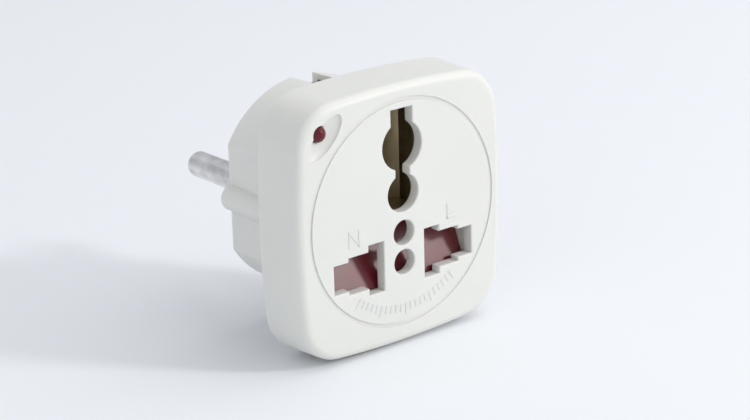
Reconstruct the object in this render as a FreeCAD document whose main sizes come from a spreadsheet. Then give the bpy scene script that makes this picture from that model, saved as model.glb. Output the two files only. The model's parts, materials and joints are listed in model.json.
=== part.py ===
import FreeCAD, Part
import math
import os
import re
import Sketcher

# Universal travel adapter: a rounded square face with a universal socket, on a round plug body
# with two round pins.  Inside, a spring-loaded shutter slides down behind the socket openings.
# Model frame: +Z up, the face looks along -Y, X to the right seen from the front, millimetres.
# Every piece is drawn about the centre of the face's ring: X right, Y deeper, Z up.  Its
# Placement then carries it to the object's origin, the bottom centre of the overall box.

SIZES = {
    # Front shell: a rounded square whose sides bow outwards a little and flare towards the rim.
    "half_width": 22.5,
    "half_height": 23.1,
    "side_radius": 180.0,
    "corner_radius": 8.1,
    "plate_drop": 0.45,
    "shell_depth": 10.0,
    "face_wall": 2.0,
    "side_wall": 1.5,
    "edge_round": 1.5,
    "rim_flare": 0.6,
    "ring_radius": 20.0,
    "ring_width": 0.7,
    "ring_depth": 0.25,
    "lip_round": 0.25,
    # Live and neutral openings, each made of three joined slots, mirrored left and right.
    "line_drop": 8.55,
    "blade_in": 4.5,
    "blade_out": 7.85,
    "blade_half": 4.5,
    "round_out": 12.2,
    "round_half": 3.3,
    "flat_out": 15.35,
    "flat_half": 2.6,
    # Earth keyhole and the two round earth holes.
    "slot_half": 2.35,
    "slot_top": 18.45,
    "large_radius": 4.3,
    "large_rise": 11.9,
    "neck_half": 1.55,
    "small_radius": 3.35,
    "small_rise": 3.5,
    "hole_radius": 2.25,
    "upper_hole_drop": 3.6,
    "lower_hole_drop": 8.9,
    # Plug body.
    "plug_radius": 19.6,
    "plug_back": 27.4,
    "plug_wall": 1.5,
    "plug_draft": 1.6,
    "flat_reach": 17.0,
    "rib_radius": 2.4,
    "rib_reach": 16.15,
    "flange_front": 9.05,
    "flange_gap": 0.15,
    "channel_half": 2.4,
    "channel_floor": 16.7,
    "channel_front": 19.3,
    # Plug pins.
    "pin_radius": 2.4,
    "pin_spacing": 19.0,
    "pin_length": 21.0,
    "pin_tip": 1.6,
    "pin_root": 2.2,
    "pin_collar": 2.9,
    "pin_tail": 1.2,
    "pin_hole_gap": 0.2,
    "fit_gap": 0.03,
    # Screws that close the case.
    "screw_out": 11.2,
    "screw_rise": 10.2,
    "screw_radius": 1.25,
    "screw_head": 2.3,
    "screw_head_height": 1.6,
    "screw_seat": 20.4,
    "cross_arm": 1.3,
    "cross_half": 0.3,
    "boss_radius": 2.4,
    "boss_end": 8.8,
    "post_radius": 3.2,
    # Shutter, its rails and its springs.
    "shutter_half": 15.5,
    "shutter_front": 2.4,
    "shutter_back": 7.7,
    "shutter_low": 13.15,
    "shutter_high": 3.6,
    "shutter_crown": 2.6,
    "shutter_slope": 0.42,
    "rail_in": 15.75,
    "rail_thick": 1.15,
    "rail_split": 3.0,
    "rail_top": 3.2,
    "rail_low": 18.6,
    "spring_out": 9.6,
    "spring_radius": 1.0,
    "spring_wire": 0.35,
    "spring_turns": 8.0,
    "spring_top": 9.1,
    "spring_floor": 21.6,
    "spring_pocket": 1.35,
    "spring_depth": 6.3,
    # Inner carrier plate.
    "carrier_front": 7.9,
    "carrier_back": 9.0,
    # Sheet metal contacts.
    "metal": 0.5,
    "contact_front": 9.6,
    "contact_base": 23.4,
    "jaw_lead": 1.6,
    "jaw_open": 3.3,
    "jaw_grip": 2.05,
    "jaw_root": 2.35,
    "jaw_in": 7.7,
    "jaw_out": 13.2,
    "blade_jaw_in": 5.35,
    "blade_jaw_gap": 2.0,
    "tab_in": 6.4,
    "tab_width": 4.7,
    "tab_top": 2.6,
    "plate_width": 8.0,
    "earth_out": 4.6,
    "earth_front": 2.3,
    "earth_bend": 6.3,
    "earth_pinch": 2.1,
    "earth_base": 24.5,
    "earth_jaw_low": 1.0,
    "earth_jaw_top": 15.6,
    "earth_floor_depth": 4.9,
    "bridge_depth": 25.02,
    "bridge_half": 2.05,
    "bridge_reach": 16.4,
    "clip_tab_depth": 25.56,
    "clip_tab_low": 12.4,
    "clip_rise": 17.05,
    "clip_bow": 0.7,
    "clip_end_gap": 0.5,
    "rivet_rise": 13.9,
    "rivet_radius": 0.6,
    "rivet_head": 1.1,
    "rivet_head_height": 0.4,
    # Indicator light and its parts.
    "led_out": 17.15,
    "led_rise": 17.4,
    "led_radius": 1.5,
    "led_proud": 0.4,
    "scoop_long": 4.6,
    "scoop_wide": 2.0,
    "scoop_depth": 1.05,
    "part_depth": 5.6,
    "part_shift": 7.1,
    "lead_length": 7.0,
    "lead_radius": 0.22,
    "leg_spread": 0.5,
    "leg_length": 2.2,
    "resistor_rise": 17.4,
    "wire_radius": 0.5,
    "wire_bend": 0.7,
    "wire_drop_out": 5.6,
    "wire_over": 20.0,
    "wire_end": 0.6,
    "live_wire_out": 7.0,
    "live_wire_rise": 15.0,
    "neutral_wire_rise": 14.6,
}

doc = FreeCAD.newDocument("travel_adapter")
sheet = doc.addObject("Spreadsheet::Sheet", "Sizes")
for row, (alias, number) in enumerate(SIZES.items(), start=1):
    sheet.set("A%d" % row, alias)
    sheet.set("B%d" % row, str(number))
    sheet.setAlias("B%d" % row, alias)
doc.recompute()

V = FreeCAD.Vector
NODES = []


def formula(text):
    """Write a size formula so that each alias in it reads the sheet."""
    def link(match):
        word = match.group(0)
        return "Sizes." + word if word in SIZES else word
    return re.sub(r"[a-z_]+", link, text)


def number(text):
    """Present value of a size formula."""
    return float(sheet.evalExpression(formula(text)))


def bind(item, prop, text):
    item.setExpression(prop, formula(text))


def place(item, x="0", y="0", z="0"):
    """Put a helper solid at a point given by three formulas."""
    for axis, text in zip("xyz", (x, y, z)):
        bind(item, "Placement.Base." + axis, text)


def finish_node(item, x="0", y="0", z="0"):
    """Carry a finished sub-part from its place about the ring's centre to the object's origin."""
    bind(item, "Placement.Base.x", x)
    bind(item, "Placement.Base.y", "(%s) - (plug_back + pin_length - led_proud) / 2" % y)
    bind(item, "Placement.Base.z", "(%s) + half_height + plate_drop + rim_flare" % z)
    NODES.append(item)


# ---------------------------------------------------------------- sketches and body features

def new_body(label):
    body = doc.addObject("PartDesign::Body", label)
    body.Label = label
    return body


def origin_plane(body, role):
    return [item for item in body.Origin.OriginFeatures if item.Role == role][0]


def face_sketch(body, name, depth):
    """A sketch parallel to the face, at a depth behind it: its x is X and its y is Z."""
    sketch = body.newObject("Sketcher::SketchObject", name)
    sketch.AttachmentSupport = [(origin_plane(body, "XZ_Plane"), "")]
    sketch.MapMode = "FlatFace"
    bind(sketch, "AttachmentOffset.Base.z", "-(" + depth + ")")
    return sketch


def side_sketch(body, name, offset):
    """A sketch on a plane square to X, at X = offset: its x is Y and its y is Z."""
    sketch = body.newObject("Sketcher::SketchObject", name)
    sketch.AttachmentSupport = [(origin_plane(body, "YZ_Plane"), "")]
    sketch.MapMode = "FlatFace"
    bind(sketch, "AttachmentOffset.Base.z", offset)
    return sketch


def constrain(sketch, kind, target, text):
    index = sketch.addConstraint(Sketcher.Constraint(kind, *target, number(text)))
    sketch.setExpression("Constraints[%d]" % index, formula(text))


def draw_polygon(sketch, corners):
    """A closed polygon whose corners are pairs of formulas."""
    points = [V(number(x), number(z), 0) for x, z in corners]
    count = len(points)
    first = sketch.GeometryCount
    for i in range(count):
        sketch.addGeometry(Part.LineSegment(points[i], points[(i + 1) % count]))
    for i in range(count):
        follower = first + (i + 1) % count
        sketch.addConstraint(Sketcher.Constraint("Coincident", first + i, 2, follower, 1))
    for i, (x, z) in enumerate(corners):
        constrain(sketch, "DistanceX", (first + i, 1), x)
        constrain(sketch, "DistanceY", (first + i, 1), z)


def draw_box(sketch, low_x, high_x, low_z, high_z):
    draw_polygon(sketch, [(low_x, low_z), (high_x, low_z), (high_x, high_z), (low_x, high_z)])


def draw_circle(sketch, x, z, radius):
    centre = V(number(x), number(z), 0)
    index = sketch.addGeometry(Part.Circle(centre, V(0, 0, 1), number(radius)))
    constrain(sketch, "DistanceX", (index, 3), x)
    constrain(sketch, "DistanceY", (index, 3), z)
    constrain(sketch, "Radius", (index,), radius)


def draw_bowed_square(sketch, inset):
    """Four bowed sides joined by four corner arcs, drawn inside the case's outline by inset."""
    wide = number("half_width - (%s)" % inset)
    tall = number("half_height - (%s)" % inset)
    bow = number("side_radius - (%s)" % inset)
    corner = number("corner_radius - (%s)" % inset)
    drop = number("plate_drop")
    # The corner circle touches both side circles from the inside.
    side_x = wide - bow
    side_z = tall - bow
    half_gap = math.hypot(side_x, side_z) / 2
    reach = math.sqrt((bow - corner) ** 2 - half_gap ** 2)
    corner_x = side_x / 2 - side_z / (2 * half_gap) * reach
    corner_z = side_z / 2 - side_x / (2 * half_gap) * reach
    low_angle = math.atan2(corner_z, corner_x - side_x)
    high_angle = math.atan2(corner_z - side_z, corner_x)
    turn = math.pi / 2
    arcs = []
    for quarter in range(4):
        flip_x = 1 if quarter in (0, 3) else -1
        flip_z = 1 if quarter in (0, 1) else -1
        middle = quarter * turn
        across = low_angle if quarter % 2 == 0 else turn - high_angle
        centre = [(side_x, 0), (0, side_z), (-side_x, 0), (0, -side_z)][quarter]
        arcs.append((centre, bow, middle - across, middle + across))
        start, end = low_angle, high_angle
        if quarter % 2:
            start, end = turn - high_angle, turn - low_angle
        arcs.append(((flip_x * corner_x, flip_z * corner_z), corner, middle + start, middle + end))
    for (x, z), radius, start, end in arcs:
        circle = Part.Circle(V(x, z - drop, 0), V(0, 0, 1), radius)
        sketch.addGeometry(Part.ArcOfCircle(circle, start, end))
    for i in range(8):
        sketch.addConstraint(Sketcher.Constraint("Tangent", i, 2, (i + 1) % 8, 1))
    for i in (0, 2, 4, 6):
        constrain(sketch, "Radius", (i,), "side_radius - (%s)" % inset)
    for i in (1, 3, 5, 7):
        constrain(sketch, "Radius", (i,), "corner_radius - (%s)" % inset)
    constrain(sketch, "DistanceX", (0, 3), "half_width - side_radius")
    constrain(sketch, "DistanceX", (4, 3), "side_radius - half_width")
    constrain(sketch, "DistanceY", (2, 3), "half_height - side_radius - plate_drop")
    constrain(sketch, "DistanceY", (6, 3), "side_radius - half_height - plate_drop")
    for i in (0, 4):
        constrain(sketch, "DistanceY", (i, 3), "-plate_drop")
    for i in (2, 6):
        sketch.addConstraint(Sketcher.Constraint("PointOnObject", i, 3, -2))


def add_pad(body, sketch, length, reverse=True):
    """Raise a sketch; a face sketch is raised into the depth, towards +Y."""
    pad = body.newObject("PartDesign::Pad", sketch.Name + "_pad")
    pad.Profile = sketch
    pad.Reversed = reverse
    bind(pad, "Length", length)
    doc.recompute()
    return pad


def add_pocket(body, sketch, length, reverse=False):
    """Cut a sketch; a face sketch cuts into the depth, towards +Y.  It has to remove something."""
    before = body.Shape.Volume
    pocket = body.newObject("PartDesign::Pocket", sketch.Name + "_cut")
    pocket.Profile = sketch
    pocket.Reversed = reverse
    bind(pocket, "Length", length)
    doc.recompute()
    if not body.Shape.Volume < before - 1e-6:
        raise RuntimeError(sketch.Name + " cuts nothing")
    return pocket


def edges_where(shape, test):
    return ["Edge%d" % (i + 1) for i, edge in enumerate(shape.Edges) if test(edge)]


def add_fillet(body, test, radius):
    """Round the edges of the body that pass a test."""
    fillet = body.newObject("PartDesign::Fillet", body.Name + "_round")
    tip = fillet.BaseFeature
    fillet.Base = (tip, edges_where(tip.Shape, test))
    bind(fillet, "Radius", radius)
    doc.recompute()
    return fillet


# ---------------------------------------------------------------- primitives and booleans

def solid_box(name, low, high):
    """A box between two corners, each three formulas."""
    box = doc.addObject("Part::Box", name)
    for prop, a, b in zip(("Length", "Width", "Height"), low, high):
        bind(box, prop, "(%s) - (%s)" % (b, a))
    place(box, *low)
    return box


def solid_cylinder(name, x, y, z, radius, length):
    """A cylinder that runs from (x, y, z) towards +Y."""
    rod = doc.addObject("Part::Cylinder", name)
    rod.Placement = FreeCAD.Placement(V(0, 0, 0), FreeCAD.Rotation(V(1, 0, 0), -90))
    bind(rod, "Radius", radius)
    bind(rod, "Height", length)
    place(rod, x, y, z)
    return rod


def fuse(name, parts):
    joined = doc.addObject("Part::MultiFuse", name)
    joined.Shapes = parts
    return joined


def cut(name, base, tool):
    carved = doc.addObject("Part::Cut", name)
    carved.Base = base
    carved.Tool = tool
    return carved


def group(name, parts):
    together = doc.addObject("Part::Compound", name)
    together.Links = parts
    return together


def feature(name, shape):
    """A sub-part whose shape comes from Part's own functions."""
    item = doc.addObject("Part::Feature", name)
    item.Shape = shape
    return item


def strip_face(points, thickness, plane):
    """A flat face of constant thickness along an open line of points, drawn in one plane."""
    def sideways(a, b):
        run = (b - a).normalize()
        return V(-run.y, run.x, 0) * (thickness / 2)
    flat = [V(x, y, 0) for x, y in points]
    left = []
    right = []
    for i, point in enumerate(flat):
        before = sideways(flat[i - 1], point) if i > 0 else None
        after = sideways(point, flat[i + 1]) if i < len(flat) - 1 else None
        if before is None or after is None:
            shift = before or after
        else:
            middle = before + after
            shift = middle * (thickness ** 2 / 2 / middle.dot(middle))
        left.append(point + shift)
        right.append(point - shift)
    ring = left + right[::-1]
    solid_points = [plane(p.x, p.y) for p in ring + ring[:1]]
    return Part.Face(Part.makePolygon(solid_points))


def strip_along_z(points, low_z, high_z):
    """Bent sheet drawn in X and Y, standing from low_z to high_z."""
    face = strip_face(points, number("metal"), lambda x, y: V(x, y, low_z))
    return face.extrude(V(0, 0, high_z - low_z))


def strip_along_x(points, low_x, high_x):
    """Bent sheet drawn in Y and Z, reaching from low_x to high_x."""
    face = strip_face(points, number("metal"), lambda y, z: V(low_x, y, z))
    return face.extrude(V(high_x - low_x, 0, 0))


def round_wire(points, bend, radius):
    """A round wire along straight runs joined by tangent arcs."""
    path = []
    last = points[0]
    for i in range(1, len(points) - 1):
        corner = points[i]
        back = (points[i - 1] - corner).normalize()
        ahead = (points[i + 1] - corner).normalize()
        half_turn = (math.pi - back.getAngle(ahead)) / 2
        reach = bend * math.tan(half_turn)
        start = corner + back * reach
        end = corner + ahead * reach
        inward = (back + ahead).normalize()
        centre = corner + inward * (bend / math.cos(half_turn))
        path.append(Part.LineSegment(last, start).toShape())
        path.append(Part.Arc(start, centre - inward * bend, end).toShape())
        last = end
    path.append(Part.LineSegment(last, points[-1]).toShape())
    spine = Part.Wire(path)
    profile = Part.Wire(Part.makeCircle(radius, points[0], points[1] - points[0]))
    return spine.makePipeShell([profile], True, True)


# ---------------------------------------------------------------- sub-parts

def line_opening(sketch, side):
    """Live or neutral opening: blade slot, round-pin slot and flat-pin slot run together."""
    sign = "1" if side > 0 else "-1"
    steps = [("blade_in", "blade_half"), ("blade_out", "blade_half"), ("blade_out", "round_half"),
             ("round_out", "round_half"), ("round_out", "flat_half"), ("flat_out", "flat_half")]
    upper = [("%s * %s" % (sign, x), "%s - line_drop" % rise) for x, rise in steps]
    lower = [("%s * %s" % (sign, x), "-%s - line_drop" % rise) for x, rise in reversed(steps)]
    draw_polygon(sketch, upper + lower)


def front_shell():
    """Face and side walls in one moulding, with screw bosses and the front of the rails."""
    body = new_body("front_shell")
    outline = face_sketch(body, "case_outline", "0")
    draw_bowed_square(outline, "0")
    pad = add_pad(body, outline, "shell_depth")
    bind(pad, "TaperAngle", "atan(rim_flare / shell_depth)")
    doc.recompute()

    add_fillet(body, lambda edge: edge.BoundBox.YMax < 0.01, "edge_round")

    cavity = face_sketch(body, "cavity", "face_wall")
    draw_bowed_square(cavity, "side_wall")
    add_pocket(body, cavity, "shell_depth")

    bosses = face_sketch(body, "bosses", "face_wall - 0.2")
    for side in ("-", ""):
        draw_circle(bosses, side + "screw_out", "screw_rise", "boss_radius")
    add_pad(body, bosses, "boss_end - face_wall + 0.2")

    rails = face_sketch(body, "front_rails", "face_wall - 0.2")
    draw_box(rails, "rail_in", "rail_in + rail_thick", "-rail_low", "-rail_top")
    draw_box(rails, "-rail_in - rail_thick", "-rail_in", "-rail_low", "-rail_top")
    add_pad(body, rails, "rail_split - face_wall + 0.2")

    through = "face_wall * 2"
    for side in (-1, 1):
        opening = face_sketch(body, "opening_left" if side < 0 else "opening_right", "0")
        line_opening(opening, side)
        add_pocket(body, opening, "rail_split - 0.1")

    slot = face_sketch(body, "earth_slot", "0")
    draw_box(slot, "-slot_half", "slot_half", "large_rise", "slot_top")
    add_pocket(body, slot, through)
    neck = face_sketch(body, "earth_neck", "0")
    draw_box(neck, "-neck_half", "neck_half", "small_rise", "large_rise")
    add_pocket(body, neck, through)
    for name, rise, radius in (("earth_large", "large_rise", "large_radius"),
                               ("earth_small", "small_rise", "small_radius")):
        eye = face_sketch(body, name, "0")
        draw_circle(eye, "0", rise, radius)
        add_pocket(body, eye, through)

    holes = face_sketch(body, "round_holes", "0")
    draw_circle(holes, "0", "-upper_hole_drop", "hole_radius")
    draw_circle(holes, "0", "-lower_hole_drop", "hole_radius")
    add_pocket(body, holes, through)

    def inner_lip(edge):
        box = edge.BoundBox
        on_face = abs(box.YMax) < 0.01 and abs(box.YMin) < 0.01
        return on_face and max(abs(box.XMax), abs(box.XMin)) < 16 and abs(box.ZMax) < 18.6

    add_fillet(body, inner_lip, "lip_round")

    ring = face_sketch(body, "ring_groove", "0")
    draw_circle(ring, "0", "0", "ring_radius + ring_width / 2")
    draw_circle(ring, "0", "0", "ring_radius - ring_width / 2")
    add_pocket(body, ring, "ring_depth")

    threads = face_sketch(body, "screw_holes", "face_wall + 0.8")
    for side in ("-", ""):
        draw_circle(threads, side + "screw_out", "screw_rise", "screw_radius + fit_gap")
    add_pocket(body, threads, "boss_end")

    scoop = body.newObject("PartDesign::SubtractiveEllipsoid", "light_scoop")
    bind(scoop, "Radius1", "scoop_depth")
    bind(scoop, "Radius2", "scoop_long")
    bind(scoop, "Radius3", "scoop_wide")
    # The long half-axis lies along the corner's tangent, the short one goes into the face.
    face_turn = FreeCAD.Rotation(V(1, 0, 0), 90)
    corner_turn = FreeCAD.Rotation(V(0, 0, 1), 45)
    scoop.Placement = FreeCAD.Placement(V(0, 0, 0), face_turn.multiply(corner_turn))
    place(scoop, "0.9 - led_out", "0", "led_rise - 0.7")
    doc.recompute()

    light = face_sketch(body, "light_hole", "0")
    draw_circle(light, "-led_out", "led_rise", "led_radius + fit_gap * 2")
    add_pocket(body, light, through)
    finish_node(body)


def draw_flatted_circle(sketch, radius, reach):
    """A circle about the axis with a flat at each side, at X = reach and at X = -reach."""
    round_radius = number(radius)
    flat_x = number(reach)
    angle = math.acos(flat_x / round_radius)
    flat_z = round_radius * math.sin(angle)
    circle = Part.Circle(V(0, 0, 0), V(0, 0, 1), round_radius)
    sketch.addGeometry(Part.LineSegment(V(flat_x, -flat_z, 0), V(flat_x, flat_z, 0)))
    sketch.addGeometry(Part.ArcOfCircle(circle, angle, math.pi - angle))
    sketch.addGeometry(Part.LineSegment(V(-flat_x, flat_z, 0), V(-flat_x, -flat_z, 0)))
    sketch.addGeometry(Part.ArcOfCircle(circle, math.pi + angle, 2 * math.pi - angle))
    for i in range(4):
        sketch.addConstraint(Sketcher.Constraint("Coincident", i, 2, (i + 1) % 4, 1))
    for i in (1, 3):
        sketch.addConstraint(Sketcher.Constraint("Coincident", i, 3, -1, 1))
        constrain(sketch, "Radius", (i,), radius)
    for i, text in ((0, reach), (2, "-(%s)" % reach)):
        sketch.addConstraint(Sketcher.Constraint("Vertical", i))
        constrain(sketch, "DistanceX", (i, 1), text)


def rear_shell():
    """Plug body with its flange, guide ribs, screw posts and the two earth channels."""
    body = new_body("rear_shell")
    flange = face_sketch(body, "flange", "flange_front")
    draw_bowed_square(flange, "side_wall + flange_gap")
    add_pad(body, flange, "shell_depth - flange_front")

    barrel = face_sketch(body, "barrel", "shell_depth - 0.3")
    draw_flatted_circle(barrel, "plug_radius", "flat_reach")
    pad = add_pad(body, barrel, "plug_back - shell_depth + 0.3")
    bind(pad, "TaperAngle", "-plug_draft")
    doc.recompute()

    ribs = face_sketch(body, "guide_ribs", "shell_depth - 0.3")
    for side in ("-", ""):
        draw_circle(ribs, side + "rib_reach", "0", "rib_radius")
    add_pad(body, ribs, "plug_back - shell_depth + 0.3")

    hollow = face_sketch(body, "plug_hollow", "flange_front")
    draw_flatted_circle(hollow, "plug_radius - plug_wall", "flat_reach - plug_wall")
    add_pocket(body, hollow, "plug_back - plug_wall - flange_front")

    posts = face_sketch(body, "screw_posts", "flange_front")
    for side in ("-", ""):
        draw_circle(posts, side + "screw_out", "screw_rise", "post_radius")
    add_pad(body, posts, "plug_back - flange_front - plug_wall / 2")

    pin_holes = face_sketch(body, "pin_holes", "flange_front")
    shanks = face_sketch(body, "shank_holes", "flange_front")
    heads = face_sketch(body, "head_recesses", "screw_seat")
    for side in ("-", ""):
        draw_circle(pin_holes, side + "pin_spacing / 2", "0", "pin_radius + pin_hole_gap")
        draw_circle(shanks, side + "screw_out", "screw_rise", "screw_radius + fit_gap * 2")
        draw_circle(heads, side + "screw_out", "screw_rise", "screw_head + 0.2")
    for sketch in (pin_holes, shanks, heads):
        add_pocket(body, sketch, "plug_back")

    channels = face_sketch(body, "earth_channels", "channel_front")
    draw_box(channels, "-channel_half", "channel_half", "channel_floor", "plug_radius + 1")
    draw_box(channels, "-channel_half", "channel_half", "-plug_radius - 1", "-channel_floor")
    add_pocket(body, channels, "plug_back")
    finish_node(body)


def contact_carrier():
    """Insulating plate behind the shutter: windows for the contacts and rails for the shutter."""
    body = new_body("contact_carrier")
    plate = face_sketch(body, "carrier_plate", "carrier_front")
    draw_bowed_square(plate, "side_wall + flange_gap")
    add_pad(body, plate, "carrier_back - carrier_front")

    rails = face_sketch(body, "carrier_rails", "rail_split + 0.05")
    draw_box(rails, "rail_in", "rail_in + rail_thick", "-rail_low", "-rail_top")
    draw_box(rails, "-rail_in - rail_thick", "-rail_in", "-rail_low", "-rail_top")
    add_pad(body, rails, "carrier_front - rail_split + 0.05")

    windows = face_sketch(body, "carrier_windows", "carrier_front - 0.1")
    top = "blade_half - line_drop + 0.2"
    bottom = "-blade_half - line_drop - 0.2"
    draw_box(windows, "blade_in - 0.2", "shutter_half", bottom, top)
    draw_box(windows, "-shutter_half", "0.2 - blade_in", bottom, top)
    draw_box(windows, "-slot_half - 1.65", "slot_half + 1.65", "-0.3", "slot_top + 0.3")
    draw_circle(windows, "0", "-upper_hole_drop", "hole_radius + 0.2")
    draw_circle(windows, "0", "-lower_hole_drop", "hole_radius + 0.2")
    for side in ("-", ""):
        draw_circle(windows, side + "screw_out", "screw_rise", "boss_radius + 0.2")
    for x, z in (("live_wire_out", "live_wire_rise"), ("-live_wire_out", "neutral_wire_rise")):
        draw_circle(windows, x, z, "wire_radius + 0.3")
    add_pocket(body, windows, "carrier_back - carrier_front + 0.2")
    finish_node(body)


def safety_shutter():
    """Wedge that fills the openings; a pin pushed against its ramp slides it down."""
    body = new_body("safety_shutter")
    wedge = side_sketch(body, "wedge", "-shutter_half")
    ramp_top = "shutter_front + shutter_slope * (shutter_low - shutter_high)"
    draw_polygon(wedge, [("shutter_front", "-shutter_low"), ("shutter_back", "-shutter_low"),
                         ("shutter_back", "-shutter_high"), (ramp_top, "-shutter_high")])
    add_pad(body, wedge, "shutter_half * 2", reverse=False)

    crown = side_sketch(body, "crown", "-blade_in + 0.5")
    crown_top = "shutter_front + shutter_slope * (shutter_low - shutter_crown)"
    draw_polygon(crown, [(ramp_top, "-shutter_high"), ("shutter_back", "-shutter_high - 0.5"),
                         ("shutter_back", "-shutter_crown"), (crown_top, "-shutter_crown")])
    add_pad(body, crown, "blade_in * 2 - 1", reverse=False)

    # The bottom edge rises towards the ends, so that it clears the case's corners.
    steps = face_sketch(body, "lower_steps", "shutter_front - 0.1")
    under = "-shutter_low - 1"
    for side in ("-", ""):
        inner = [side + "(blade_out + 0.25)", side + "(round_out + 0.2)", side + "(shutter_half + 0.1)"]
        draw_polygon(steps, [(inner[0], under), (inner[2], under), (inner[2], "1.1 - shutter_low"),
                             (inner[1], "1.1 - shutter_low"), (inner[1], "0.7 - shutter_low"),
                             (inner[0], "0.7 - shutter_low")])
    add_pocket(body, steps, "shutter_back")

    pockets = face_sketch(body, "spring_pockets", "spring_depth - spring_pocket")
    for side in ("-", ""):
        x = side + "spring_out"
        draw_box(pockets, x + " - spring_pocket", x + " + spring_pocket",
                 "-shutter_low - 1", "-spring_top")
    add_pocket(body, pockets, "shutter_back")
    finish_node(body)


def shutter_spring(name, side):
    """Compression spring between the shutter and the bottom wall of the case."""
    wire = number("spring_wire") / 2
    turns = number("spring_turns")
    low = -number("spring_floor") + wire
    high = -number("spring_top") - wire
    pitch = (high - low) / turns
    radius = number("spring_radius") - wire
    helix = Part.makeLongHelix(pitch, high - low, radius, 0, False)
    start = V(radius, 0, 0)
    tangent = V(0, radius, pitch / (2 * math.pi))
    profile = Part.Wire(Part.makeCircle(wire, start, tangent))
    coil = Part.Wire(helix.Edges).makePipeShell([profile], True, True)
    finish_node(feature(name, coil), "%d * spring_out" % side, "spring_depth",
                "spring_wire / 2 - spring_floor")


def plug_pin(name, side):
    """Solid round pin with a collar behind the wall and a tail peened over the contact."""
    body = new_body(name)
    half = side_sketch(body, name + "_profile", "0")
    tip = "plug_back + pin_length"
    base_front = "contact_base - metal / 2"
    base_back = "contact_base + metal / 2"
    wall = "plug_back - plug_wall"
    draw_polygon(half, [(base_front + " - 0.45", "0"), (base_front + " - 0.45", "pin_tail + 0.5"),
                        (base_front, "pin_tail + 0.5"), (base_front, "pin_tail"),
                        (base_back, "pin_tail"), (base_back, "pin_root"),
                        (wall + " - 0.8", "pin_root"), (wall + " - 0.8", "pin_collar"),
                        (wall, "pin_collar"), (wall, "pin_root"),
                        ("plug_back", "pin_root"), ("plug_back", "pin_radius"),
                        (tip, "pin_radius"), (tip, "0")])
    turned = body.newObject("PartDesign::Revolution", name + "_turned")
    turned.Profile = half
    turned.ReferenceAxis = (half, ["H_Axis"])
    turned.Angle = 360
    doc.recompute()
    end = number(tip)
    add_fillet(body, lambda edge: abs(edge.BoundBox.YMin - end) < 0.01, "pin_tip")
    finish_node(body, "%d * pin_spacing / 2" % side)


def bore(shape, x, z, radius, start, length):
    """Take a round hole along +Y out of a shape."""
    return shape.cut(Part.makeCylinder(radius, length, V(x, start, z), V(0, 1, 0)))


def line_contact(name, side):
    """One folded strip: a jaw for flat and round pins, a jaw for blades, and the pin's tab."""
    drop = -number("line_drop")
    base = number("contact_base")
    mouth = number("contact_front")
    sheet_half = number("metal") / 2
    throat = mouth + number("jaw_lead")
    jaw_open = number("jaw_open")
    jaw_grip = number("jaw_grip")
    jaw_root = number("jaw_root")
    blade_in_x = number("blade_jaw_in")
    blade_out_x = blade_in_x + number("blade_jaw_gap")
    flat_jaw = strip_along_x([(mouth, drop + jaw_open), (throat, drop + jaw_grip),
                              (base, drop + jaw_root), (base, drop - jaw_root),
                              (throat, drop - jaw_grip), (mouth, drop - jaw_open)],
                             number("jaw_in"), number("jaw_out"))
    blade_jaw = strip_along_z([(blade_in_x - 0.6, mouth), (blade_in_x, throat),
                               (blade_in_x, base), (blade_out_x, base),
                               (blade_out_x, mouth)], drop - jaw_open, drop + jaw_open)
    plate = Part.makeBox(number("plate_width"), sheet_half * 2, jaw_open * 2,
                         V(blade_in_x - sheet_half, base - sheet_half, drop - jaw_open))
    tab = Part.makeBox(number("tab_width"), sheet_half * 2, number("tab_top") - drop,
                       V(number("tab_in"), base - sheet_half, drop))
    folded = flat_jaw.fuse([blade_jaw, plate, tab]).removeSplitter()
    hole = number("pin_tail + fit_gap")
    folded = bore(folded, number("pin_spacing / 2"), 0, hole, base - 1, 2)
    if side < 0:
        folded = folded.mirror(V(0, 0, 0), V(1, 0, 0))
    finish_node(feature(name, folded.Solids[0]))


def earth_socket_contact():
    """Folded earth contact: flared lips behind the keyhole and a deep jaw down to the bridge."""
    wide = number("earth_out")
    pinch = number("earth_pinch")
    throat = number("carrier_back")
    base = number("earth_base")
    metal = number("metal")
    lips = []
    for side in (-1, 1):
        lips.append(strip_along_z([(side * wide, number("earth_front")),
                                   (side * wide, number("earth_bend")),
                                   (side * pinch, throat)], 0.0, number("slot_top")))
    jaw = strip_along_z([(pinch, throat - 0.3), (pinch, base), (-pinch, base),
                         (-pinch, throat - 0.3)], number("earth_jaw_low"), number("earth_jaw_top"))
    floor_width = wide * 2 + metal
    floor = Part.makeBox(floor_width, number("earth_floor_depth"), metal,
                         V(-floor_width / 2, number("earth_front") + 0.4, -metal / 2))
    folded = jaw.fuse(lips + [floor]).removeSplitter()
    folded = bore(folded, 0, number("rivet_rise"), number("rivet_radius + fit_gap"), base - 1, 2)
    finish_node(feature("earth_socket_contact", folded.Solids[0]))


def earth_bridge():
    """Flat bar inside the back wall that joins both earth clips to the socket's earth contact."""
    bar = solid_box("bridge_bar", ("-bridge_half", "bridge_depth - metal / 2", "-bridge_reach"),
                    ("bridge_half", "bridge_depth + metal / 2", "bridge_reach"))
    holes = [solid_cylinder("bridge_hole_" + place_name, "0", "bridge_depth - 1", rise,
                            "rivet_radius + fit_gap", "2")
             for place_name, rise in (("top", "rivet_rise"), ("bottom", "-rivet_rise"))]
    finish_node(cut("earth_bridge", bar, fuse("bridge_holes", holes)))


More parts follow.
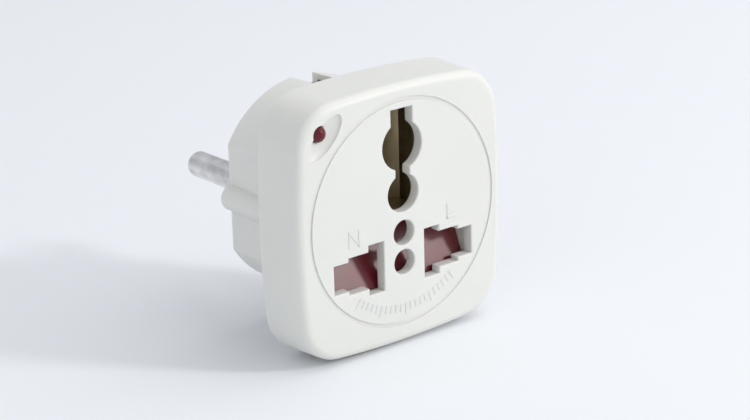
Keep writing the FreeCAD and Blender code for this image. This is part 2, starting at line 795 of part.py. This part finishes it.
def earth_clip(name, side):
    """Bowed side contact in the plug body's channel, with a tab riveted to the bridge."""
    rise = number("clip_rise")
    half = number("bridge_half")
    depth = number("clip_tab_depth")
    low = number("channel_front + clip_end_gap")
    high = number("plug_back - clip_end_gap")
    middle = ((low + high) / 2, rise + number("clip_bow"))
    bow = strip_along_x([(low, rise), middle, (high, rise)], -half, half)
    tab = strip_along_x([(depth, number("clip_tab_low")), (depth, rise + 0.15)], -half, half)
    clip = bow.fuse(tab).removeSplitter()
    clip = bore(clip, 0, number("rivet_rise"), number("rivet_radius + fit_gap"), depth - 1, 2)
    if side < 0:
        clip = clip.mirror(V(0, 0, 0), V(0, 0, 1))
    finish_node(feature(name, clip.Solids[0]))


def earth_rivets():
    """Two rivets: the upper one takes the socket contact, the bridge and the clip together."""
    rivets = []
    tail = "clip_tab_depth + metal / 2"
    for place_name, rise, face in (("top", "rivet_rise", "earth_base - metal / 2"),
                                   ("bottom", "-rivet_rise", "bridge_depth - metal / 2")):
        head = solid_cylinder("rivet_head_" + place_name, "0", face + " - rivet_head_height", rise,
                              "rivet_head", "rivet_head_height")
        shank = solid_cylinder("rivet_shank_" + place_name, "0", face + " - 0.2", rise,
                               "rivet_radius", "(%s) - (%s) + 0.2" % (tail, face))
        rivets.append(fuse("rivet_" + place_name, [head, shank]))
    finish_node(group("earth_rivets", rivets))


def indicator_led():
    """Red light with a domed nose and two legs."""
    nose = doc.addObject("Part::Sphere", "led_nose")
    bind(nose, "Radius", "led_radius")
    place(nose, "-led_out", "led_radius - led_proud", "led_rise")
    barrel = solid_cylinder("led_barrel", "-led_out", "led_radius - led_proud", "led_rise",
                            "led_radius", "part_depth - 0.6 - led_radius + led_proud")
    legs = [solid_cylinder("led_leg_" + way, "-led_out " + shift, "part_depth - 0.7",
                           "led_rise " + shift, "lead_radius", "leg_length")
            for way, shift in (("low", "- leg_spread"), ("high", "+ leg_spread"))]
    finish_node(fuse("indicator_led", [nose, barrel] + legs))


def axial_part(name, rise, body_radius, body_length):
    """A small part with a round body and a straight lead at each end, lying along X."""
    pieces = []
    middle = "part_shift - led_out"
    for label, radius, length in (("body", body_radius, body_length),
                                  ("lead", "lead_radius", "lead_length")):
        rod = doc.addObject("Part::Cylinder", name + "_" + label)
        rod.Placement = FreeCAD.Placement(V(0, 0, 0), FreeCAD.Rotation(V(0, 1, 0), 90))
        bind(rod, "Radius", radius)
        bind(rod, "Height", length)
        place(rod, "(%s) - (%s) / 2" % (middle, length), "part_depth", rise)
        pieces.append(rod)
    finish_node(fuse(name, pieces))


def indicator_wires():
    """Insulated wires from the light's circuit to the live and the neutral contact."""
    depth = number("part_depth")
    out = number("live_wire_out")
    live_rise = number("live_wire_rise")
    resistor_rise = number("resistor_rise")
    gap = 0.05
    back = number("contact_base - metal / 2 - wire_radius") - gap
    start = number("part_shift - led_out + lead_length / 2") + gap
    drop_x = -number("wire_drop_out")
    over = number("wire_over")
    end = number("wire_end")
    bend = number("wire_bend")
    live = [V(start, depth, resistor_rise), V(drop_x, depth, resistor_rise),
            V(drop_x, depth, over), V(out, depth, over), V(out, depth, live_rise),
            V(out, back, live_rise), V(out, back, end)]
    neutral_rise = number("neutral_wire_rise")
    neutral = [V(-out, depth + 0.3, neutral_rise), V(-out, back, neutral_rise),
               V(-out, back, end)]
    radius = number("wire_radius")
    finish_node(feature("wire_live", round_wire(live, bend, radius)))
    finish_node(feature("wire_neutral", round_wire(neutral, bend, radius)))


def case_screws():
    """Two long screws from the back of the plug body into the face's bosses."""
    screws = []
    for name, side in (("left", "-"), ("right", "")):
        x = side + "screw_out"
        head = solid_cylinder("head_" + name, x, "screw_seat", "screw_rise",
                              "screw_head", "screw_head_height")
        shank = solid_cylinder("shank_" + name, x, "face_wall + 1.6", "screw_rise",
                               "screw_radius", "screw_seat - face_wall - 1.4")
        slots = []
        for way, wide, tall in (("flat", "cross_arm", "cross_half"),
                                ("tall", "cross_half", "cross_arm")):
            low = (x + " - " + wide, "screw_seat + 0.8", "screw_rise - " + tall)
            high = (x + " + " + wide, "screw_seat + 2", "screw_rise + " + tall)
            slots.append(solid_box("slot_%s_%s" % (way, name), low, high))
        whole = fuse("screw_blank_" + name, [head, shank])
        cross = fuse("cross_" + name, slots)
        screws.append(cut("screw_" + name, whole, cross))
    finish_node(group("case_screws", screws))


front_shell()
rear_shell()
contact_carrier()
safety_shutter()
shutter_spring("shutter_spring_left", -1)
shutter_spring("shutter_spring_right", 1)
plug_pin("plug_pin_neutral", -1)
plug_pin("plug_pin_live", 1)
line_contact("contact_neutral", -1)
line_contact("contact_live", 1)
earth_socket_contact()
earth_bridge()
earth_clip("earth_clip_top", 1)
earth_clip("earth_clip_bottom", -1)
earth_rivets()
indicator_led()
axial_part("series_resistor", "resistor_rise", "1.0", "3.6")
axial_part("protection_diode", "neutral_wire_rise", "0.85", "3.0")
indicator_wires()
case_screws()
doc.recompute()

# ---------------------------------------------------------------- checks and export

for item in doc.Objects:
    if "Invalid" in item.State or "Error" in item.State:
        raise RuntimeError(item.Name + " failed: " + ", ".join(item.State))
os.makedirs("parts", exist_ok=True)
for item in NODES:
    shape = item.Shape
    if shape.isNull() or not shape.isValid():
        raise RuntimeError(item.Label + " has no valid shape")
    shape.exportStep("parts/%s.step" % item.Label)
    print("%-24s solids %d  volume %8.1f" % (item.Label, len(shape.Solids), shape.Volume))
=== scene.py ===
"""Universal travel adapter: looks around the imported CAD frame.  Metres, +Z up, face towards -Y."""

import json
import math

import bmesh
import bpy
from mathutils import Matrix, Vector


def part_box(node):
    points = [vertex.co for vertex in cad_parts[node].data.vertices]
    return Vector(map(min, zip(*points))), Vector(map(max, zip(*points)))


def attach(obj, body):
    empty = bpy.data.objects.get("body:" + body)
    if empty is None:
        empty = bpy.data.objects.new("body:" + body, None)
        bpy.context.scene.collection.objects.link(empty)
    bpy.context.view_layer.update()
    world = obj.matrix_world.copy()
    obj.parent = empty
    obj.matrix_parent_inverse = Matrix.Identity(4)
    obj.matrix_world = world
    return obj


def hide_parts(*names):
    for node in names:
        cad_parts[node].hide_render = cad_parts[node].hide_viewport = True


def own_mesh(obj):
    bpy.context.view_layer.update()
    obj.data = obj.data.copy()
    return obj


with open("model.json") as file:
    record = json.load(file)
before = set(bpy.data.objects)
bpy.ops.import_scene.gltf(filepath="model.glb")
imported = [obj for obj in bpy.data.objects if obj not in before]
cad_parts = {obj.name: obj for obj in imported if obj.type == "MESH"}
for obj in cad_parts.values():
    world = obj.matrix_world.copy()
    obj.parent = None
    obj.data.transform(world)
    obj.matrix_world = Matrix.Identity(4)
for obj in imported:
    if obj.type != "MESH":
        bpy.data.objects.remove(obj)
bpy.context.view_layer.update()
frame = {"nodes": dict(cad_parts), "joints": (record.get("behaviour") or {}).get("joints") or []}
MM = 0.001

# ---------------------------------------------------------------- places read from the frame

FACE_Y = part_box("front_shell")[0][1]
pin_low, pin_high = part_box("plug_pin_live")
AXIS_Z = (pin_low[2] + pin_high[2]) / 2
RING_CENTRE = Vector((0, FACE_Y, AXIS_Z))


def link(obj):
    bpy.context.scene.collection.objects.link(obj)
    return obj


# ---------------------------------------------------------------- camera

CAMERA_AZIMUTH = math.radians(-39.0)
CAMERA_ELEVATION = math.radians(19.06)
CAMERA_ROLL = math.radians(-1.56)
CAMERA_DISTANCE = 339.57 * MM
# The ring's centre stands a little right of and below the middle of the view.
RING_RIGHT = 4.91 * MM
RING_DOWN = 0.47 * MM
SENSOR_WIDTH_MM = 36
LENS_MM = 96
CLIP_START = 10 * MM


def make_camera():
    """Long lens at the azimuth and elevation given, rolled slightly."""
    back = Vector((math.sin(CAMERA_AZIMUTH) * math.cos(CAMERA_ELEVATION),
                   -math.cos(CAMERA_AZIMUTH) * math.cos(CAMERA_ELEVATION),
                   math.sin(CAMERA_ELEVATION)))
    right = Vector((0, 0, 1)).cross(back).normalized()
    up = back.cross(right)
    roll = Matrix.Rotation(CAMERA_ROLL, 3, back)
    right = roll @ right
    up = roll @ up
    data = bpy.data.cameras.new("camera")
    data.sensor_width = SENSOR_WIDTH_MM
    data.lens = LENS_MM
    data.clip_start = CLIP_START
    camera = link(bpy.data.objects.new("camera", data))
    place = RING_CENTRE + back * CAMERA_DISTANCE - right * RING_RIGHT + up * RING_DOWN
    turn = Matrix((right, up, back)).transposed()
    camera.matrix_world = Matrix.Translation(place) @ turn.to_4x4()
    bpy.context.scene.camera = camera


make_camera()


# ---------------------------------------------------------------- materials

class Nodes:
    """A small helper to write node materials in few lines."""

    def __init__(self, name):
        self.material = bpy.data.materials.new(name)
        self.material.use_nodes = True
        self.tree = self.material.node_tree
        self.shader = self.tree.nodes["Principled BSDF"]

    def add(self, kind, **values):
        node = self.tree.nodes.new(kind)
        for key, value in values.items():
            if key in node.inputs:
                node.inputs[key].default_value = value
            else:
                setattr(node, key, value)
        return node

    def join(self, source, target):
        self.tree.links.new(source, target)

    def set(self, **values):
        for key, value in values.items():
            self.shader.inputs[key.replace("_", " ")].default_value = value

    def noise(self, scale, detail=3.0, roughness=0.5, stretch=(1, 1, 1)):
        """Noise in the object's own metres; scale is in features per metre."""
        place = self.add("ShaderNodeTexCoord")
        mapping = self.add("ShaderNodeMapping")
        mapping.inputs["Scale"].default_value = stretch
        self.join(place.outputs["Object"], mapping.inputs["Vector"])
        noise = self.add("ShaderNodeTexNoise", Scale=scale, Detail=detail, Roughness=roughness)
        self.join(mapping.outputs["Vector"], noise.inputs["Vector"])
        return noise.outputs["Fac"]

    def ramp(self, value, stops):
        ramp = self.add("ShaderNodeValToRGB")
        points = ramp.color_ramp.elements
        while len(points) < len(stops):
            points.new(0.5)
        for point, (position, colour) in zip(points, stops):
            point.position = position
            point.color = colour if len(colour) == 4 else (*colour, 1)
        self.join(value, ramp.inputs["Fac"])
        return ramp.outputs["Color"]

    def spread(self, value, low, high):
        """Map a 0..1 value to a range."""
        node = self.add("ShaderNodeMapRange")
        node.inputs["To Min"].default_value = low
        node.inputs["To Max"].default_value = high
        self.join(value, node.inputs["Value"])
        return node.outputs["Result"]

    def colour(self, socket):
        self.join(socket, self.shader.inputs["Base Color"])

    def rough(self, socket):
        self.join(socket, self.shader.inputs["Roughness"])

    def bump(self, layers):
        """Stack bump layers, each (height socket, depth in metres)."""
        normal = None
        for height, depth in layers:
            node = self.add("ShaderNodeBump", Strength=1.0, Distance=depth)
            self.join(height, node.inputs["Height"])
            if normal is not None:
                self.join(normal, node.inputs["Normal"])
            normal = node.outputs["Normal"]
        self.join(normal, self.shader.inputs["Normal"])


def shell_material():
    """Ivory moulded plastic: fine grain, faint flow clouds and light rubbing."""
    m = Nodes("ivory_plastic")
    clouds = m.noise(55, 4)
    m.colour(m.ramp(clouds, [(0.3, (0.74, 0.745, 0.71)), (0.7, (0.77, 0.773, 0.74))]))
    rubbed = m.noise(260, 6, 0.65, (1, 1, 0.35))
    m.rough(m.spread(rubbed, 0.36, 0.50))
    m.bump([(m.noise(5200, 2, 0.6), 6e-6), (m.noise(420, 3), 1.5e-5)])
    m.set(Subsurface_Weight=0.12, Subsurface_Scale=0.0018, Subsurface_Radius=(1.0, 0.85, 0.6),
          Specular_IOR_Level=0.45)
    return m.material


def carrier_material():
    """The inner plate: the same plastic, unpolished and a little yellower."""
    m = Nodes("inner_plastic")
    m.colour(m.ramp(m.noise(70, 4), [(0.3, (0.66, 0.65, 0.58)), (0.7, (0.71, 0.70, 0.63))]))
    m.rough(m.spread(m.noise(300, 4), 0.5, 0.65))
    m.bump([(m.noise(3000, 2), 8e-6)])
    m.set(Subsurface_Weight=0.08, Subsurface_Scale=0.0015)
    return m.material


def shutter_material():
    """Maroon plastic, polished by pins that slide on it, with fine scratches down the ramp."""
    m = Nodes("maroon_plastic")
    m.colour(m.ramp(m.noise(240, 4), [(0.3, (0.13, 0.004, 0.010)), (0.75, (0.18, 0.008, 0.018))]))
    scratches = m.noise(900, 5, 0.7, (3.0, 1, 0.12))
    m.rough(m.spread(scratches, 0.27, 0.43))
    m.bump([(scratches, 1.2e-5), (m.noise(2600, 2), 5e-6)])
    m.set(Specular_IOR_Level=0.75, Coat_Weight=0.6, Coat_Roughness=0.3,
          Subsurface_Weight=0.05, Subsurface_Scale=0.001)
    return m.material


# How much of a metal's colour follows its streaks; the rest follows its mottle. On brass and steel
# these are real streaks and tarnish; on the nickel plate both are painted reflection.
STREAK_AND_PAINTED_REFLECTION_SHARE = 0.6
# Broad streaks have this share of the fine grain's frequency, and this many times its depth.
STREAK_SCALE = 0.45
STREAK_DEPTH = 3


def metal_material(name, dark, light, rough, grain, grain_stretch, grain_depth):
    """Plated or rolled metal: streaks and a mottle in the colour, and a directional grain; on the
    nickel plate the coloured streaks and mottle are painted reflection, on the other metals drawn
    streaks and tarnish.
    """
    m = Nodes(name)
    mottle = m.noise(380, 5)
    # On the nickel plate these streaks in the colour are painted reflection: bright streaks and a
    # dark line along the pins.
    streaks_and_painted_reflection = m.noise(grain * STREAK_SCALE, 3, 0.5, grain_stretch)
    blend = m.add("ShaderNodeMath", operation="MULTIPLY_ADD")
    m.join(streaks_and_painted_reflection, blend.inputs[0])
    blend.inputs[1].default_value = STREAK_AND_PAINTED_REFLECTION_SHARE
    m.join(m.spread(mottle, 0.0, 1 - STREAK_AND_PAINTED_REFLECTION_SHARE), blend.inputs[2])
    m.colour(m.ramp(blend.outputs["Value"], [(0.36, dark), (0.64, light)]))
    lines = m.noise(grain, 4, 0.6, grain_stretch)
    m.rough(m.spread(lines, rough[0], rough[1]))
    m.bump([(lines, grain_depth), (streaks_and_painted_reflection, grain_depth * STREAK_DEPTH)])
    m.set(Metallic=1.0)
    return m.material


def led_material():
    """Dark red tinted resin, unlit."""
    m = Nodes("red_resin")
    m.colour(m.ramp(m.noise(500, 3), [(0.3, (0.095, 0.002, 0.009)), (0.75, (0.15, 0.004, 0.015))]))
    m.rough(m.spread(m.noise(900, 3), 0.10, 0.2))
    m.set(Coat_Weight=0.2, Coat_Roughness=0.08, Subsurface_Weight=0.35, Subsurface_Scale=0.0008,
          Subsurface_Radius=(1.0, 0.12, 0.1), Specular_IOR_Level=0.3)
    return m.material


def painted_body(name, dark, light, rough):
    """Lacquered or moulded body of a small component or a wire's jacket."""
    m = Nodes(name)
    m.colour(m.ramp(m.noise(600, 4), [(0.3, dark), (0.7, light)]))
    m.rough(m.spread(m.noise(1200, 3), rough - 0.06, rough + 0.08))
    m.bump([(m.noise(2500, 2), 4e-6)])
    return m.material


IVORY = shell_material()
INNER = carrier_material()
MAROON = shutter_material()
LED_RED = led_material()
# The nickel plate's dark and light streaks along the pins are painted reflection of the room, not
# tarnish.
NICKEL = metal_material("nickel_plate", (0.50, 0.49, 0.475), (0.90, 0.88, 0.86), (0.14, 0.26),
                        1500, (1, 0.03, 1), 5e-6)
BRASS = metal_material("tarnished_brass", (0.27, 0.22, 0.14), (0.42, 0.345, 0.22), (0.34, 0.5),
                       1300, (1, 1, 0.08), 5e-6)
BRASS_BRIGHT = metal_material("rivet_brass", (0.45, 0.35, 0.18), (0.6, 0.47, 0.25), (0.25, 0.4),
                              1500, (1, 1, 1), 4e-6)
STEEL = metal_material("zinc_steel", (0.48, 0.48, 0.49), (0.6, 0.6, 0.61), (0.25, 0.42),
                       1700, (1, 0.2, 1), 4e-6)
RESISTOR = painted_body("resistor_lacquer", (0.58, 0.47, 0.30), (0.68, 0.56, 0.37), 0.35)
EPOXY = painted_body("black_epoxy", (0.018, 0.018, 0.02), (0.035, 0.035, 0.037), 0.4)
JACKET = painted_body("wire_jacket", (0.02, 0.02, 0.022), (0.04, 0.04, 0.043), 0.55)

FINISHES = {
    "front_shell": IVORY, "rear_shell": IVORY, "contact_carrier": INNER,
    "safety_shutter": MAROON, "indicator_led": LED_RED,
    "shutter_spring_left": STEEL, "shutter_spring_right": STEEL, "case_screws": STEEL,
    "plug_pin_neutral": NICKEL, "plug_pin_live": NICKEL,
    "contact_neutral": BRASS, "contact_live": BRASS, "earth_socket_contact": BRASS,
    "earth_bridge": BRASS, "earth_clip_top": BRASS, "earth_clip_bottom": BRASS,
    "earth_rivets": BRASS_BRIGHT, "series_resistor": RESISTOR, "protection_diode": EPOXY,
    "wire_live": JACKET, "wire_neutral": JACKET,
}


def dress_nodes():
    """Give every CAD node its finish."""
    for name, material in FINISHES.items():
        mesh = frame["nodes"][name].data
        mesh.materials.clear()
        mesh.materials.append(material)


dress_nodes()


# ---------------------------------------------------------------- return springs

def make_springs():
    """Rigid copies of the return coils, fixed to the case; each stands for a rigid coil of the
    frame.
    """
    slide = frame["joints"][0]
    for spring in slide["deforming_nodes"]:
        node = spring["node"]
        rigid = frame["nodes"][node]
        coil = link(bpy.data.objects.new(node.replace("shutter", "return"), rigid.data.copy()))
        coil.matrix_world = rigid.matrix_world.copy()
        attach(coil, "case")
        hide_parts(node)
        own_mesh(coil)


make_springs()


# ---------------------------------------------------------------- raised marks on the face

STROKE = 0.42 * MM
STROKE_RISE = 0.12 * MM
BEVEL = 0.11 * MM
SINK = 0.05 * MM

# Corners that the letters' strokes join, in millimetres right of and above the ring's centre.
NEUTRAL_CORNERS = ((-11.95, -3.4), (-11.95, -0.75), (-9.85, -3.4), (-9.85, -0.75))
LIVE_CORNERS = ((9.85, -0.75), (9.85, -3.2), (11.75, -3.2))

SCALE_STROKE = 0.38 * MM
SCALE_BARS = 21
SCALE_INNER = 16.55 * MM
SCALE_OUTER = 18.25 * MM
SCALE_SPREAD = math.radians(37)
LONG_BAR_EVERY = 5
SHORT_BAR_LOSS = 0.6 * MM


def raised_bar(mesh, start, end, width):
    """Add one moulded bar between two points (x, z) of the face, narrower at its top."""
    run = Vector((end[0] - start[0], end[1] - start[1]))
    along = run.normalized()
    aside = Vector((-along.y, along.x))
    # Each ring's depth behind the face and its inset: foot, start of the bevel, its bend, top.
    levels = ((SINK, 0),
              (-STROKE_RISE + BEVEL, 0),
              (-STROKE_RISE + BEVEL * 0.3, BEVEL * 0.35),
              (-STROKE_RISE, BEVEL))
    rings = []
    for depth, inset in levels:
        ring = []
        for end_sign, side_sign in ((-1, -1), (1, -1), (1, 1), (-1, 1)):
            base = Vector(start) if end_sign < 0 else Vector(end)
            point = base + along * end_sign * (width / 2 - inset)
            point += aside * side_sign * (width / 2 - inset)
            ring.append(mesh.verts.new((point.x, FACE_Y + depth, AXIS_Z + point.y)))
        rings.append(ring)
    for lower, upper in zip(rings, rings[1:]):
        for i in range(4):
            j = (i + 1) % 4
            mesh.faces.new((lower[i], lower[j], upper[j], upper[i]))
    mesh.faces.new(rings[-1])
    mesh.faces.new(rings[0][::-1])


def make_mark(name, bars, width):
    """One raised mark made of bars, moulded with the front shell."""
    shape = bmesh.new()
    for start, end in bars:
        raised_bar(shape, start, end, width)
    bmesh.ops.recalc_face_normals(shape, faces=shape.faces)
    mesh = bpy.data.meshes.new(name)
    shape.to_mesh(mesh)
    shape.free()
    mesh.materials.append(IVORY)
    mark = link(bpy.data.objects.new(name, mesh))
    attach(mark, "case")


def strokes(corners):
    """The bars that join corners given in millimetres, one after another."""
    points = [(x * MM, z * MM) for x, z in corners]
    return list(zip(points, points[1:]))


def scale_bars():
    """Short bars that fan out along the ring's lower arc, each fifth one longer."""
    bars = []
    for i in range(SCALE_BARS):
        angle = -SCALE_SPREAD + 2 * SCALE_SPREAD * i / (SCALE_BARS - 1)
        way = Vector((math.sin(angle), -math.cos(angle)))
        reach = SCALE_OUTER if i % LONG_BAR_EVERY == 0 else SCALE_OUTER - SHORT_BAR_LOSS
        bars.append((way * SCALE_INNER, way * reach))
    return bars


def make_marks():
    """Letters N and L over their openings and a plain scale of short bars along the ring."""
    make_mark("mark_neutral", strokes(NEUTRAL_CORNERS), STROKE)
    make_mark("mark_live", strokes(LIVE_CORNERS), STROKE)
    make_mark("face_scale", scale_bars(), SCALE_STROKE)


make_marks()


# ---------------------------------------------------------------- floor and light

PAPER_HALF_WIDTH = 3.0
PAPER_BACK = 0.9
PAPER_SWEEP = 0.6
PAPER_SWEEP_STEPS = 12
PAPER_TOP = 2.5

ROOM_COLOUR = (0.955, 0.965, 0.985, 1)
ROOM_STRENGTH = 0.69
LAMP_COLOUR = (1.0, 0.99, 0.97)
FILL_COLOUR = (1.0, 0.99, 0.98)
# Each lamp's name, place, target, side in metres, watts and colour.
LAMPS = (
    ("overhead", (0.46, -0.16, 0.84), (0, 0, 0.02), 0.9, 2.7, LAMP_COLOUR),
    ("front", (0.54, -0.73, 0.48), (0, 0, 0.02), 0.14, 3.5, LAMP_COLOUR),
    ("fill", (-0.62, -0.30, 0.42), (-0.03, 0, 0.01), 0.5, 0.32, FILL_COLOUR),
)


def paper_material():
    """Matt paper, faintly blue, with slow changes of tone."""
    m = Nodes("white_paper")
    m.colour(m.ramp(m.noise(3, 2), [(0.3, (0.83, 0.85, 0.89)), (0.7, (0.85, 0.87, 0.90))]))
    m.rough(m.spread(m.noise(90, 3), 0.75, 0.9))
    m.set(Specular_IOR_Level=0.2)
    return m.material


def make_floor():
    """A wide sheet of pale paper that rises into a backdrop far behind."""
    run = [(-PAPER_HALF_WIDTH, 0), (PAPER_BACK, 0)]
    for i in range(1, PAPER_SWEEP_STEPS + 1):
        angle = math.pi / 2 * i / PAPER_SWEEP_STEPS
        run.append((PAPER_BACK + PAPER_SWEEP * math.sin(angle), PAPER_SWEEP * (1 - math.cos(angle))))
    run.append((PAPER_BACK + PAPER_SWEEP, PAPER_TOP))
    verts = [(side * PAPER_HALF_WIDTH, y, z) for y, z in run for side in (-1, 1)]
    faces = [(2 * i, 2 * i + 1, 2 * i + 3, 2 * i + 2) for i in range(len(run) - 1)]
    mesh = bpy.data.meshes.new("paper")
    mesh.from_pydata(verts, [], faces)
    mesh.materials.append(paper_material())
    floor = link(bpy.data.objects.new("paper", mesh))
    for face in mesh.polygons:
        face.use_smooth = True


def area_light(name, place, target, side, power, colour):
    """A square lamp at one place that points at another."""
    data = bpy.data.lights.new(name, "AREA")
    data.shape = "RECTANGLE"
    data.size = side
    data.size_y = side
    data.energy = power
    data.color = colour
    lamp = link(bpy.data.objects.new(name, data))
    lamp.location = place
    lamp.rotation_euler = (Vector(target) - Vector(place)).to_track_quat("-Z", "Y").to_euler()


def make_light():
    """A pale room, a large soft lamp overhead, a small one in front on the right, a faint fill."""
    world = bpy.data.worlds.new("studio")
    world.use_nodes = True
    background = world.node_tree.nodes["Background"]
    background.inputs["Color"].default_value = ROOM_COLOUR
    background.inputs["Strength"].default_value = ROOM_STRENGTH
    scene = bpy.context.scene
    scene.world = world
    scene.view_settings.view_transform = "Standard"
    scene.view_settings.look = "None"
    for name, place, target, side, power, colour in LAMPS:
        area_light(name, place, target, side, power, colour)


make_floor()
make_light()
